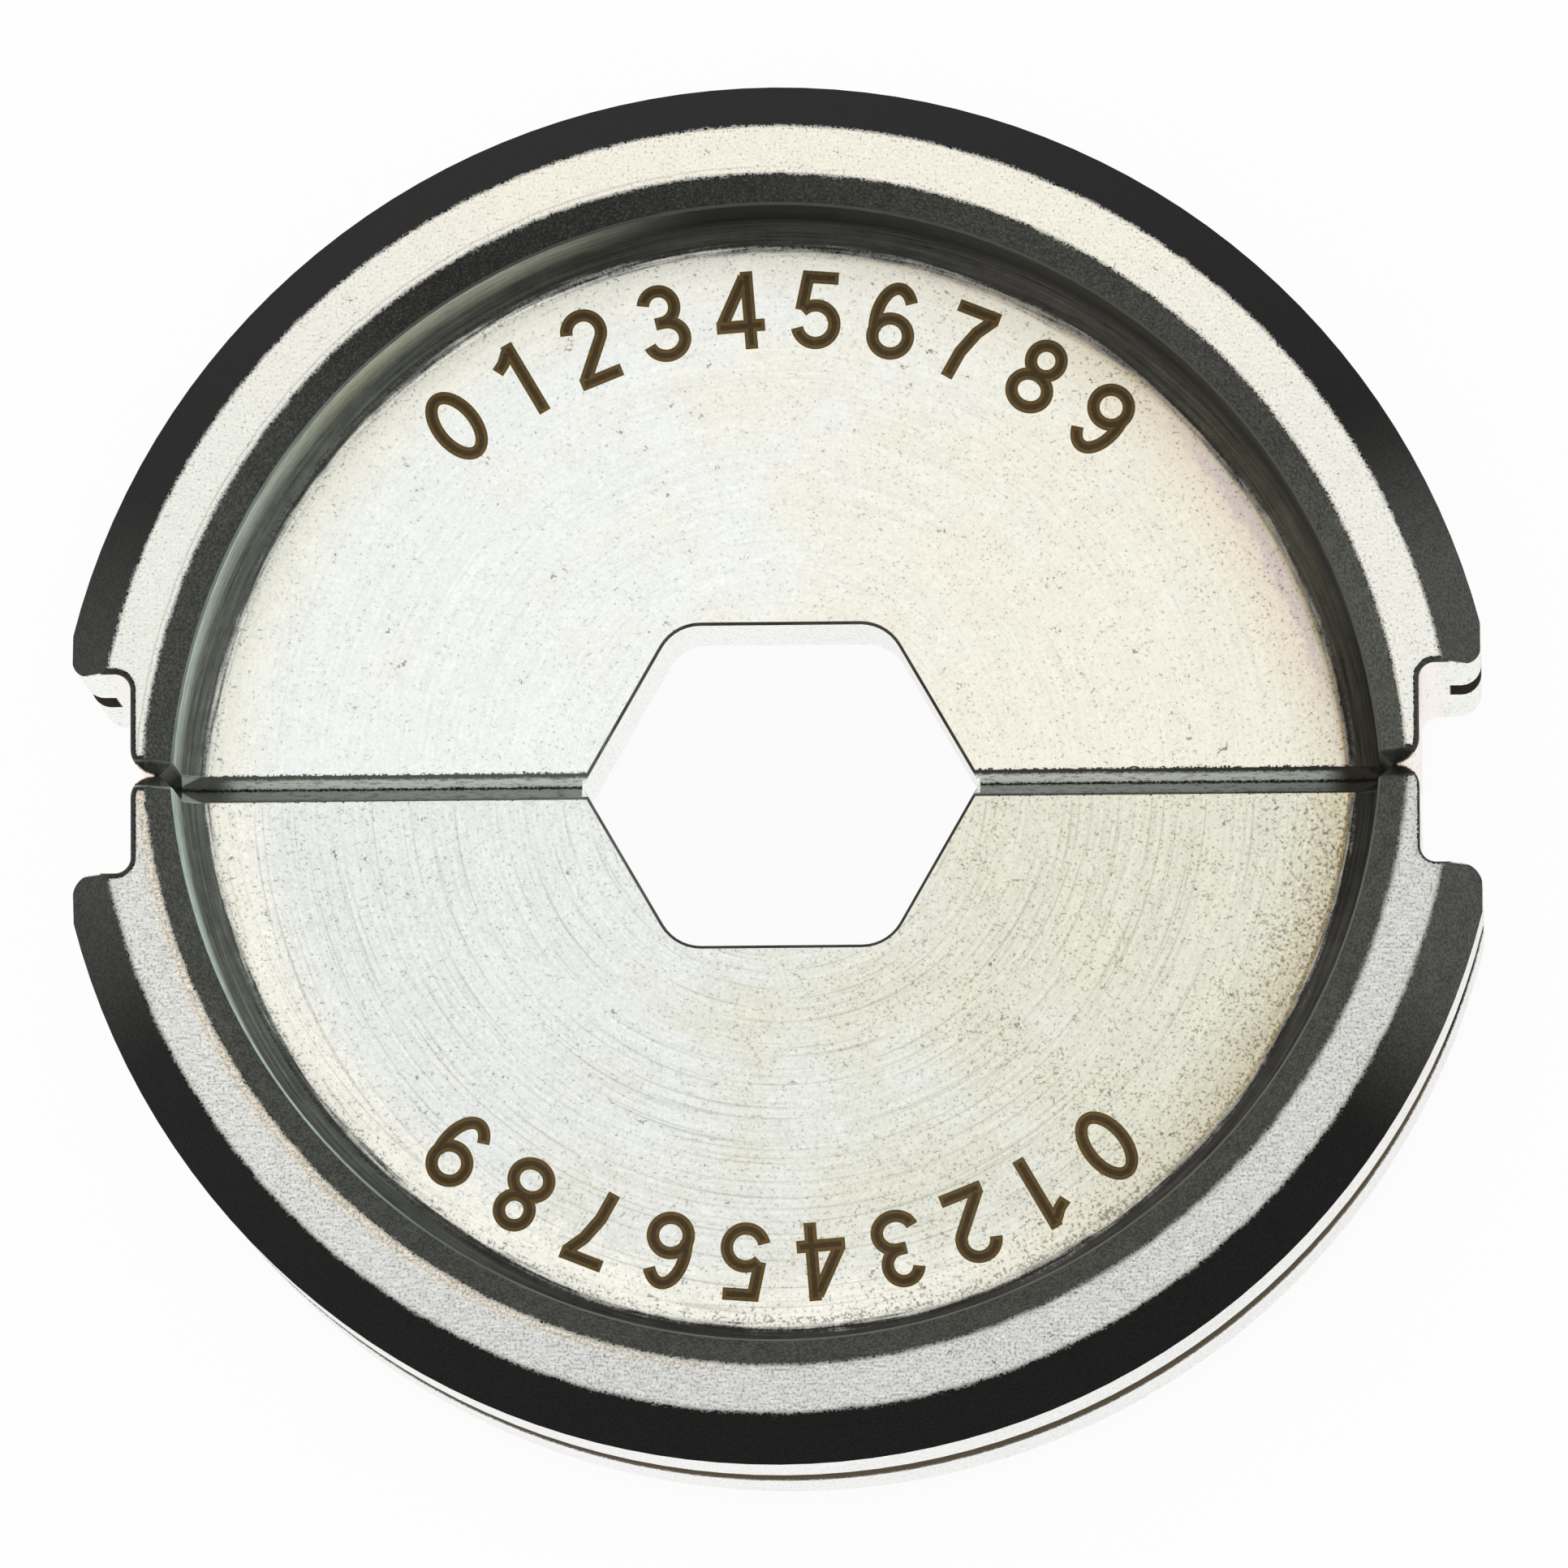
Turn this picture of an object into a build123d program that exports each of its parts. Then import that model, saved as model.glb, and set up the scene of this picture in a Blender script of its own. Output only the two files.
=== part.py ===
# A two-piece hexagonal crimping die for a hydraulic press with a round-backed die seat.
# The closed pair lies on its back ring: X to the right, Y across the parting plane, Z out of the front.
# The parting plane is y = 0, and the crimping axis is the Z axis.
import os
from math import radians, tan

from build123d import *

# Driving dimensions, in millimetres and degrees
thickness = 17.0  # along the crimping axis
seat_radius = 23.0  # round back of each half
seat_overtravel = 1.1  # from the parting plane to the centre of the round back
outer_chamfer_width = 1.46
outer_chamfer_height = 2.0
ring_width = 1.59  # flat ring between the two chamfers
inner_chamfer_width = 0.84
inner_chamfer_height = 0.9
inner_edge_break = 0.1  # between the inner chamfer and the recess wall
web_thickness = 6.0  # crimping width, left between the two recesses
cove_radius = 0.85  # foot of the recess wall
cove_steps = 4  # short cones that make up the cove
groove_width = 2.8
groove_depth = 1.25
side_flat_depth = 0.7  # from the round back's radius to the flat on each side
notch_height = 3.15  # from the parting plane to the notch floor
leg_width = 0.4  # leg beside the notch, from the ring's inner edge outwards
notch_root_radius = 0.5
notch_shoulder_radius = 0.65
leg_tip_radius = 0.78
ring_edge_break = 0.3
parting_edge_break = 0.42
nest_depth = 5.12  # half of the hexagon's width across its flats
nest_mouth = 12.64  # hexagon's width in the parting plane
nest_side_angle = 60.0
nest_corner_radius = 1.4
nest_edge_break = 0.1

# Radii of the turned form, about the centre of the round back
ring_outer_radius = seat_radius - outer_chamfer_width
ring_inner_radius = ring_outer_radius - ring_width
wall_radius = ring_inner_radius - inner_chamfer_width
floor_radius = wall_radius - cove_radius
groove_radius = seat_radius - groove_depth

# Heights above the middle plane, and places in the plan
ring_height = thickness / 2
inner_edge_height = ring_height - inner_chamfer_height
outer_edge_height = ring_height - outer_chamfer_height
web_height = web_thickness / 2
side_flat_x = seat_radius - side_flat_depth
leg_outer_x = ring_inner_radius + leg_width
nest_corner_x = nest_mouth / 2 - nest_depth / tan(radians(nest_side_angle))

tip_reach = leg_tip_radius - leg_width  # the tip's rounding, inwards of the ring's inner edge
tolerance = 1e-3

middle_plane = Plane.XY.offset(thickness / 2)
seat_axis = Axis((0, -seat_overtravel, 0), (0, 0, 1))
section_plane = Plane(
    origin=(0, -seat_overtravel, thickness / 2), x_dir=(1, 0, 0), z_dir=(0, -1, 0)
)


def nearest_corner(outline, x, y):
    """The outline's corner nearest to a place in its own plane."""
    return outline.vertices().sort_by_distance((x, y, 0))[0]


def lies_in_parting_plane(edge):
    """True for an edge with both ends in the parting plane."""
    return all(abs(vertex.Y) < tolerance for vertex in edge.vertices())


def faces_the_recess(edge):
    """True for an edge of the recess, from the web's face up to the inner chamfer."""
    middle = edge.center()
    return middle.Z > thickness / 2 + web_height - tolerance and middle.X < ring_inner_radius - tip_reach


def borders_the_nest(edge):
    """True for an edge between the nest's walls and the web's face."""
    middle = edge.center()
    on_the_web = abs(middle.Z - thickness / 2 - web_height) < tolerance
    inside_the_mouth = middle.X < nest_mouth / 2 and middle.Y < nest_depth + tolerance
    return on_the_web and inside_the_mouth and middle.X > tolerance


# Upper half: its front right quarter is turned, notched and broken, then mirrored twice
with BuildPart() as upper_die_half:
    # Turned section, from the web out to the round back
    with BuildSketch(section_plane):
        with BuildLine():
            cove = CenterArc(
                (floor_radius, web_height + cove_radius), cove_radius, -90, 90, mode=Mode.PRIVATE
            )
            Polyline(
                *[cove @ (step / cove_steps) for step in range(cove_steps + 1)],
                (wall_radius, inner_edge_height),
                (ring_inner_radius, ring_height),
                (ring_outer_radius, ring_height),
                (seat_radius, outer_edge_height),
                (seat_radius, 0),
                (0, 0),
                (0, web_height),
                close=True,
            )
        make_face()
    revolve(axis=seat_axis)

    # Plan: side flat, notch and leg, cut off at the parting plane
    with BuildSketch(middle_plane) as plan:
        with BuildLine():
            Polyline(
                (0, 0),
                (leg_outer_x, 0),
                (leg_outer_x, notch_height),
                (side_flat_x, notch_height),
                (side_flat_x, seat_radius),
                (0, seat_radius),
                close=True,
            )
        make_face()
        fillet(nearest_corner(plan, leg_outer_x, 0), leg_tip_radius)
        fillet(nearest_corner(plan, leg_outer_x, notch_height), notch_root_radius)
        fillet(nearest_corner(plan, side_flat_x, notch_height), notch_shoulder_radius)
    extrude(amount=ring_height, mode=Mode.INTERSECT)

    # Breaks along the parting plane, round the top of the recess wall and round the end of the ring
    mouth_edges = upper_die_half.edges().filter_by(
        lambda edge: lies_in_parting_plane(edge) and faces_the_recess(edge)
    )
    chamfer(mouth_edges, parting_edge_break)
    wall_edges = upper_die_half.edges().filter_by(
        lambda edge: edge.geom_type == GeomType.CIRCLE and abs(edge.radius - wall_radius) < tolerance
    )
    chamfer(wall_edges.sort_by(Axis.Z)[-1], inner_edge_break)
    ring_face = upper_die_half.faces().sort_by(Axis.Z)[-1]
    ring_edges = ring_face.edges().filter_by(
        lambda edge: edge.center().Y < notch_height + tolerance and edge.center().X > wall_radius
    )
    fillet(ring_edges, ring_edge_break)

    # Hexagonal nest
    with BuildSketch(middle_plane) as nest:
        with BuildLine():
            Polyline(
                (0, 0),
                (nest_mouth / 2, 0),
                (nest_corner_x, nest_depth),
                (0, nest_depth),
                close=True,
            )
        make_face()
        fillet(nearest_corner(nest, nest_corner_x, nest_depth), nest_corner_radius)
    extrude(amount=ring_height, mode=Mode.SUBTRACT)
    nest_edges = upper_die_half.edges().filter_by(borders_the_nest)
    chamfer(nest_edges, nest_edge_break)

    # Latch groove round the back
    with BuildSketch(section_plane):
        with BuildLine():
            Polyline(
                (groove_radius, 0),
                (groove_radius, groove_width / 2),
                (seat_radius + groove_depth, groove_width / 2),
                (seat_radius + groove_depth, 0),
                close=True,
            )
        make_face()
    revolve(axis=seat_axis, mode=Mode.SUBTRACT)

    mirror(about=Plane.YZ)
    mirror(about=middle_plane)
upper_die_half.part.label = "upper_die_half"

# Lower half: the same blank, turned half a turn about the crimping axis
with BuildPart() as lower_die_half:
    with Locations(Rotation(0, 0, 180)):
        add(upper_die_half.part)
lower_die_half.part.label = "lower_die_half"

os.makedirs("parts", exist_ok=True)
export_step(upper_die_half.part, "parts/upper_die_half.step")
export_step(lower_die_half.part, "parts/lower_die_half.step")
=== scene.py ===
"""Dresses the two die halves in ground, blackened and marked steel, in soft studio light."""

import math

import bmesh
import bpy
from bpy.props import FloatProperty, FloatVectorProperty, IntProperty, PointerProperty
from mathutils import Matrix, Vector


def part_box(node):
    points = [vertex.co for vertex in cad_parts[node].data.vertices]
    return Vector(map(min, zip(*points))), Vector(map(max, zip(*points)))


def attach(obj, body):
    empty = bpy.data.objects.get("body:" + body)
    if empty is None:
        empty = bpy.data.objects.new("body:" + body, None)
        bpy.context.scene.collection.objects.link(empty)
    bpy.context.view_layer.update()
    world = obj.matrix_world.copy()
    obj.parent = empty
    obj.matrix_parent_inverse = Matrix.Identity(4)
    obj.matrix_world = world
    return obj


bl_info = {
    "name": "Crimping Die Finish",
    "version": (1, 0, 0),
    "blender": (4, 5, 0),
    "location": "View3D > Sidebar > Crimping Die",
    "description": "Finishes, marks and lights a two-piece hexagonal crimping die",
    "category": "Object",
}

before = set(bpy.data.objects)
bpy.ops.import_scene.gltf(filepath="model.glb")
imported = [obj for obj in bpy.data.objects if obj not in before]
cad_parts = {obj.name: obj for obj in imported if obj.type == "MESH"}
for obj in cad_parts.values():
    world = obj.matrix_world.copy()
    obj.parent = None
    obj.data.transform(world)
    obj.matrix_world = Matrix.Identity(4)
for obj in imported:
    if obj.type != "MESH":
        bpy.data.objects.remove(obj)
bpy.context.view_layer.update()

BODY = "root"
UPPER_HALF = "upper_die_half"
LOWER_HALF = "lower_die_half"
MM = 0.001

# Lengths in millimetres. The frame gives the outside sizes, the rest is the turned form that they hold.
UPPER_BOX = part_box(UPPER_HALF)
THICKNESS = UPPER_BOX[1].z / MM
SIDE_FLAT_X = UPPER_BOX[1].x / MM
SEAT_RADIUS = 23.0
SEAT_OVERTRAVEL = SEAT_RADIUS - UPPER_BOX[1].y / MM
RING_OUTER_RADIUS = 21.54
RING_INNER_RADIUS = 19.95
WALL_RADIUS = 19.11
FLOOR_RADIUS = 18.26
RING_HEIGHT = THICKNESS / 2
INNER_EDGE_HEIGHT = 7.6
OUTER_EDGE_HEIGHT = 6.5
WEB_HEIGHT = 3.0
LEG_OUTER_X = 20.35
NOTCH_HEIGHT = 3.15
NEST_HALF_WIDTH = 6.32
NEST_DEPTH = 5.12
COVE_RADIUS = WALL_RADIUS - FLOOR_RADIUS
LEG_TIP_RADIUS = 0.78
TIP_CENTRE_X = LEG_OUTER_X - LEG_TIP_RADIUS
PARTING_BREAK = 0.42
GROOVE_RADIUS = 21.75
GROOVE_HALF_WIDTH = 1.4
CHAMFER_SLOPE = 1.4
SHOULDER_SLOPE = 1.37

# Grains of noise to a millimetre
FINE_GRAIN = 11.0
MIDDLING_GRAIN = 1.7
BROAD_GRAIN = 0.35
NOTCH_GRAIN = 7.0
BURNT_GRAIN = 9.0

# Tool marks to a millimetre across the tool's path, and along it to a radian or, on the rings,
# to a millimetre. The offset sets the marks of the two halves apart.
STRAIGHT_MARKS = (13.0, 2.2)
SWEPT_MARKS = (8.0, 1.3)
TURNED_MARKS = (6.0, 5.0)
HALF_OFFSET = 17.0


def screen_colour(red, green, blue):
    """A colour written as it looks on a screen, 0 to 255, as Blender's linear values."""
    shares = (value / 255 for value in (red, green, blue))
    return tuple(s / 12.92 if s <= 0.04045 else ((s + 0.055) / 1.055) ** 2.4 for s in shares)


WHITE = (1.0, 1.0, 1.0)

# Colours of the steel, and of the reflections and shade painted on it
BARE_STEEL = screen_colour(252, 252, 250)
WARM_RING = screen_colour(235, 231, 217)
TAN_LINE = screen_colour(158, 138, 128)
CREAM_FRINGE = screen_colour(222, 210, 190)
ROSE_FILM = screen_colour(238, 220, 200)
VIOLET_FILM = screen_colour(203, 191, 188)
GOLDEN_LINE = screen_colour(176, 142, 72)
LEFT_HALO = screen_colour(206, 204, 186)
RIGHT_HALO = screen_colour(196, 181, 148)
ROSY_NOTCH = screen_colour(255, 239, 230)
GREENISH_NOTCH = screen_colour(246, 252, 242)
NOTCH_DOTS = screen_colour(138, 112, 98)
SCORING = screen_colour(158, 158, 136)
OLIVE_SPECKS = screen_colour(148, 140, 104)
PITS = screen_colour(84, 80, 68)
PALE_FLECKS = screen_colour(116, 118, 112)
DARK_FLECKS = screen_colour(34, 34, 31)
# Painted reflection of the bright face in the recess wall, on the left
UPPER_LEFT_WALL_REFLECTION = screen_colour(190, 193, 175)
TOP_WALL = screen_colour(35, 37, 36)
RIGHT_WALL = screen_colour(59, 59, 55)
# Painted reflection of the bright face in the cove, on the left
LEFT_COVE_REFLECTION = screen_colour(124, 128, 121)
TOP_COVE = screen_colour(82, 82, 77)
RIGHT_COVE = screen_colour(91, 90, 86)
CONTACT_SHADOW = screen_colour(58, 54, 47)
BREAK_SHADOW = screen_colour(94, 90, 82)
LEFT_BREAK_SHADOW = screen_colour(132, 137, 128)
LEFT_LEG_END_REFLECTION = screen_colour(222, 230, 222)
GROOVE = screen_colour(128, 116, 98)
GROOVE_SHADE_IN_NOTCH = screen_colour(66, 60, 53)


class DieFinishSettings(bpy.types.PropertyGroup):
    """Colours and wear of the steel, for both halves."""

    chamfer_colour: FloatVectorProperty(
        name="Blackened Chamfer",
        description="Colour of the blackened chamfers",
        default=screen_colour(33, 32, 31),
        subtype="COLOR",
        min=0.0,
        max=1.0,
    )
    # This colour also gives the painted side sheen of the outer chamfers.
    worn_chamfer_colour: FloatVectorProperty(
        name="Thin Blackening",
        description="Colour of the chamfers where the blackening is thin",
        default=screen_colour(101, 103, 97),
        subtype="COLOR",
        min=0.0,
        max=1.0,
    )
    scorch_colour: FloatVectorProperty(
        name="Heat Tint",
        description="Brown heat tint in the cove of the right side",
        default=screen_colour(101, 98, 86),
        subtype="COLOR",
        min=0.0,
        max=1.0,
    )
    speck_colour: FloatVectorProperty(
        name="Specks",
        description="Colour of the fine specks in the ground steel",
        default=screen_colour(150, 150, 136),
        subtype="COLOR",
        min=0.0,
        max=1.0,
    )
    speck_amount: FloatProperty(
        name="Speck Amount",
        description="How strongly the specks show",
        default=0.55,
        subtype="FACTOR",
        min=0.0,
        max=1.0,
    )
    edge_wander: FloatProperty(
        name="Edge Wander",
        description="How far the edge of the blackening wanders over the ground steel, in millimetres",
        default=0.10,
        min=0.0,
        max=0.4,
    )


class DieMarkingSettings(bpy.types.PropertyGroup):
    """The plain numbers marked along the edge of each face."""

    count: IntProperty(
        name="Numbers",
        description="How many plain numbers stand along the arc, counted from nought",
        default=10,
        min=1,
        max=10,
    )
    height: FloatProperty(
        name="Height",
        description="Height of a number",
        default=2.5 * MM,
        unit="LENGTH",
        min=0.5 * MM,
        max=4.0 * MM,
    )
    stroke_width: FloatProperty(
        name="Stroke Width",
        description="Width of a stroke with its rim",
        default=0.40 * MM,
        unit="LENGTH",
        min=0.1 * MM,
        max=0.8 * MM,
    )
    radius: FloatProperty(
        name="Arc Radius",
        description="From the centre of the round back to the middle of the numbers",
        default=16.35 * MM,
        unit="LENGTH",
        min=10.0 * MM,
        max=17.0 * MM,
    )
    spread: FloatProperty(
        name="Spread",
        description="Angle from the first number to the last",
        default=math.radians(78.0),
        subtype="ANGLE",
        min=0.1,
        max=2.6,
    )
    depth: FloatProperty(
        name="Scale Thickness",
        description="How far the scale of the burnt mark stands on the face",
        default=0.008 * MM,
        unit="LENGTH",
        min=0.001 * MM,
        max=0.05 * MM,
    )
    rim_width: FloatProperty(
        name="Rim Width",
        description="Width of the lighter rim of each stroke",
        default=0.12 * MM,
        unit="LENGTH",
        min=0.0,
        max=0.15 * MM,
    )
    rim_colour: FloatVectorProperty(
        name="Rim",
        description="Colour of the rim of the burnt strokes",
        default=screen_colour(106, 89, 57),
        subtype="COLOR",
        min=0.0,
        max=1.0,
    )
    stroke_colour: FloatVectorProperty(
        name="Stroke",
        description="Colour of the middle of the burnt strokes",
        default=screen_colour(79, 65, 47),
        subtype="COLOR",
        min=0.0,
        max=1.0,
    )


class DieStageSettings(bpy.types.PropertyGroup):
    """Floor, light and camera."""

    floor_colour: FloatVectorProperty(
        name="Floor",
        description="Colour of the floor",
        default=(0.92, 0.92, 0.92),
        subtype="COLOR",
        min=0.0,
        max=1.0,
    )
    floor_glow: FloatProperty(
        name="Floor White",
        description="Share of the floor's white that is seen whatever falls on it",
        default=0.94,
        subtype="FACTOR",
        min=0.0,
        max=1.0,
    )
    room_strength: FloatProperty(
        name="Room Light",
        description="Strength of the even light from the room",
        default=0.98,
        min=0.0,
        max=2.0,
    )
    panel_power: FloatProperty(
        name="Panel Power",
        description="Power of the large panel overhead",
        default=0.8,
        unit="POWER",
        min=0.0,
        max=50.0,
    )
    camera_distance: FloatProperty(
        name="Camera Distance",
        description="From the camera to the front ring",
        default=0.590,
        unit="LENGTH",
        min=0.1,
        max=5.0,
    )
    camera_tilt: FloatProperty(
        name="Camera Tilt",
        description="How far the camera stands off the crimping axis",
        default=math.radians(6.25),
        subtype="ANGLE",
        min=0.0,
        max=1.5,
    )
    camera_bearing: FloatProperty(
        name="Camera Bearing",
        description="Direction in which the camera stands off the axis, from +X",
        default=math.radians(-69.0),
        subtype="ANGLE",
        min=-math.pi,
        max=math.pi,
    )
    camera_roll: FloatProperty(
        name="Camera Roll",
        description="Turn of the picture, with its right end up",
        default=math.radians(0.30),
        subtype="ANGLE",
        min=-0.5,
        max=0.5,
    )
    lens: FloatProperty(
        name="Lens",
        description="Focal length on a 36 millimetre sensor",
        default=429.7,
        unit="CAMERA",
        min=20.0,
        max=1000.0,
    )


class Shading:
    """A node tree being filled in, with one short method for each kind of node."""

    def __init__(self, tree):
        self.tree = tree

    def node(self, kind, **settings):
        """Adds a node and sets its own settings."""
        node = self.tree.nodes.new(kind)
        for name, value in settings.items():
            setattr(node, name, value)
        return node

    def feed(self, socket, value):
        """Joins another node to a socket, or sets the socket to a plain value or colour."""
        if isinstance(value, bpy.types.NodeSocket):
            self.tree.links.new(value, socket)
        elif socket.type == "RGBA":
            socket.default_value = (*value, 1.0)
        else:
            socket.default_value = value

    def math(self, operation, *values, clamp=False):
        """One sum of plain numbers and sockets."""
        node = self.node("ShaderNodeMath", operation=operation, use_clamp=clamp)
        for socket, value in zip(node.inputs, values):
            self.feed(socket, value)
        return node.outputs[0]

    def add(self, a, b):
        return self.math("ADD", a, b)

    def subtract(self, a, b):
        return self.math("SUBTRACT", a, b)

    def times(self, *values):
        """The product of all the values."""
        result = values[0]
        for value in values[1:]:
            result = self.math("MULTIPLY", result, value)
        return result

    def times_add(self, a, b, c, clamp=False):
        """a times b, plus c."""
        return self.math("MULTIPLY_ADD", a, b, c, clamp=clamp)

    def larger(self, a, b):
        return self.math("MAXIMUM", a, b)

    def rest(self, share):
        """What a share leaves of 1."""
        return self.math("SUBTRACT", 1.0, share)

    def swing(self, noise):
        """Noise from 0 to 1 as its swing about the middle."""
        return self.math("SUBTRACT", noise, 0.5)

    def rise(self, value, start, end):
        """Rises smoothly from 0 to 1 as value goes from start to end."""
        node = self.node("ShaderNodeMapRange", interpolation_type="SMOOTHSTEP")
        self.feed(node.inputs["Value"], value)
        self.feed(node.inputs["From Min"], start)
        self.feed(node.inputs["From Max"], end)
        return node.outputs["Result"]

    def fall(self, value, start, end):
        """Falls smoothly from 1 to 0 as value goes from start to end."""
        return self.rest(self.rise(value, start, end))

    def band(self, value, low, high, soft):
        """1 between low and high, with soft ends inside the band."""
        return self.times(self.rise(value, low, low + soft), self.fall(value, high - soft, high))

    def noise(self, place, scale, detail=2.0, rough=0.5, **settings):
        """Cloudy noise from 0 to 1."""
        node = self.node("ShaderNodeTexNoise", **settings)
        self.feed(node.inputs["Vector"], place)
        self.feed(node.inputs["Scale"], scale)
        self.feed(node.inputs["Detail"], detail)
        self.feed(node.inputs["Roughness"], rough)
        return node.outputs["Fac"]

    def vector(self, x, y, z):
        """A vector of three values."""
        node = self.node("ShaderNodeCombineXYZ")
        for socket, value in zip(node.inputs, (x, y, z)):
            self.feed(socket, value)
        return node.outputs[0]

    def length(self, x, y):
        """Length of the line from the origin to x, y."""
        node = self.node("ShaderNodeVectorMath", operation="LENGTH")
        self.feed(node.inputs[0], self.vector(x, y, 0.0))
        return node.outputs["Value"]

    def parts(self, vector):
        """The three values of a vector."""
        node = self.node("ShaderNodeSeparateXYZ")
        self.feed(node.inputs[0], vector)
        return node.outputs["X"], node.outputs["Y"], node.outputs["Z"]

    def stretched(self, place, sizes):
        """The place with each direction scaled."""
        node = self.node("ShaderNodeVectorMath", operation="MULTIPLY")
        self.feed(node.inputs[0], place)
        self.feed(node.inputs[1], sizes)
        return node.outputs[0]

    def mix(self, share, a, b):
        """Colour a, going over to b as share goes from 0 to 1."""
        node = self.node("ShaderNodeMix", data_type="RGBA")
        self.feed(node.inputs["Factor"], share)
        self.feed(node.inputs[6], a)
        self.feed(node.inputs[7], b)
        return node.outputs[2]

    def blend(self, share, a, b):
        """Value a, going over to b as share goes from 0 to 1."""
        node = self.node("ShaderNodeMix", data_type="FLOAT")
        self.feed(node.inputs["Factor"], share)
        self.feed(node.inputs[2], a)
        self.feed(node.inputs[3], b)
        return node.outputs[0]

    def shade(self, colour, value):
        """The colour made lighter or darker by a value."""
        node = self.node("ShaderNodeVectorMath", operation="SCALE")
        self.feed(node.inputs[0], colour)
        self.feed(node.inputs["Scale"], value)
        return node.outputs[0]

    def use(self, group, **values):
        """Places a node group and feeds its named inputs."""
        node = self.node("ShaderNodeGroup", node_tree=group)
        for name, value in values.items():
            self.feed(node.inputs[name.replace("_", " ").title()], value)
        return node.outputs

    def relief(self, shader, height, strength, depth, **settings):
        """Fine relief on a shader, its depth in metres."""
        node = self.node("ShaderNodeBump", **settings)
        self.feed(node.inputs["Strength"], strength)
        self.feed(node.inputs["Distance"], depth)
        self.feed(node.inputs["Height"], height)
        self.feed(shader.inputs["Normal"], node.outputs[0])

    def show(self, shader, output="ShaderNodeOutputMaterial"):
        """Makes a shader what is seen."""
        self.feed(self.node(output).inputs["Surface"], shader.outputs[0])


VALUE = "NodeSocketFloat"
VECTOR = "NodeSocketVector"
COLOUR = "NodeSocketColor"
NO_PLACE = (0.0, 0.0, 0.0)


def effect_group(name, inputs, outputs):
    """A new shader node group, and the shading that fills it.

    The inputs are named, with their defaults: a value, a place or a colour with its alpha. The outputs
    are named, with their kinds of socket.
    """
    group = bpy.data.node_groups.new(name, "ShaderNodeTree")
    for socket, default in inputs.items():
        kind = VALUE if isinstance(default, float) else {3: VECTOR, 4: COLOUR}[len(default)]
        made = group.interface.new_socket(name=socket, in_out="INPUT", socket_type=kind)
        made.default_value = default
    for socket, kind in outputs.items():
        group.interface.new_socket(name=socket, in_out="OUTPUT", socket_type=kind)
    fill = Shading(group)
    return group, fill, fill.node("NodeGroupInput").outputs, fill.node("NodeGroupOutput").inputs


def section_group():
    """Where a point lies in the turned section, in millimetres."""
    group, fill, _, out = effect_group(
        "Die Section",
        {},
        {"Place": VECTOR} | dict.fromkeys(("Radius", "Height", "Along", "Across", "Side"), VALUE),
    )
    metres = fill.node("ShaderNodeTexCoord").outputs["Object"]
    place = fill.stretched(metres, (1 / MM, 1 / MM, 1 / MM))
    x, y, z = fill.parts(place)
    across = fill.math("ABSOLUTE", y)
    radius = fill.length(x, fill.add(across, SEAT_OVERTRAVEL))
    fill.feed(out["Place"], place)
    fill.feed(out["Radius"], radius)
    fill.feed(out["Height"], fill.math("ABSOLUTE", fill.subtract(z, THICKNESS / 2)))
    fill.feed(out["Along"], fill.math("ABSOLUTE", x))
    fill.feed(out["Across"], across)
    fill.feed(out["Side"], fill.math("DIVIDE", x, radius))
    return group


def grain_group():
    """Three sizes of grain that all the finishes share: fine, middling and broad."""
    group, fill, given, out = effect_group(
        "Steel Grain", {"Place": NO_PLACE}, dict.fromkeys(("Fine", "Middling", "Broad"), VALUE)
    )
    place = given["Place"]
    fill.feed(out["Fine"], fill.noise(place, FINE_GRAIN, detail=1.0, rough=0.6))
    fill.feed(out["Middling"], fill.noise(place, MIDDLING_GRAIN, detail=2.0, rough=0.6))
    fill.feed(out["Broad"], fill.noise(place, BROAD_GRAIN, detail=1.0))
    return group


def speck_group():
    """Fine etched specks, closer together near an edge, with a few deeper pits."""
    group, fill, given, out = effect_group(
        "Etched Specks",
        {"Fine": 0.5, "Middling": 0.5, "Broad": 0.5, "From Edge": 1.0, "Density": 0.5},
        {"Specks": VALUE, "Pits": VALUE},
    )
    from_edge, density = given["From Edge"], given["Density"]
    crowd = fill.times(density, fill.blend(given["Broad"], 0.02, 0.16))
    crowd = fill.times_add(fill.fall(from_edge, 0.0, 0.35), 0.10, crowd)
    crowd = fill.times_add(fill.fall(from_edge, 0.0, 3.5), fill.times(density, 0.05), crowd)
    limit = fill.subtract(0.68, crowd)
    fill.feed(out["Specks"], fill.rise(given["Fine"], limit, fill.add(limit, 0.12)))
    fill.feed(
        out["Pits"],
        fill.times(fill.rise(given["Middling"], 0.70, 0.712), fill.rise(given["Fine"], 0.50, 0.56)),
    )
    return group


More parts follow.
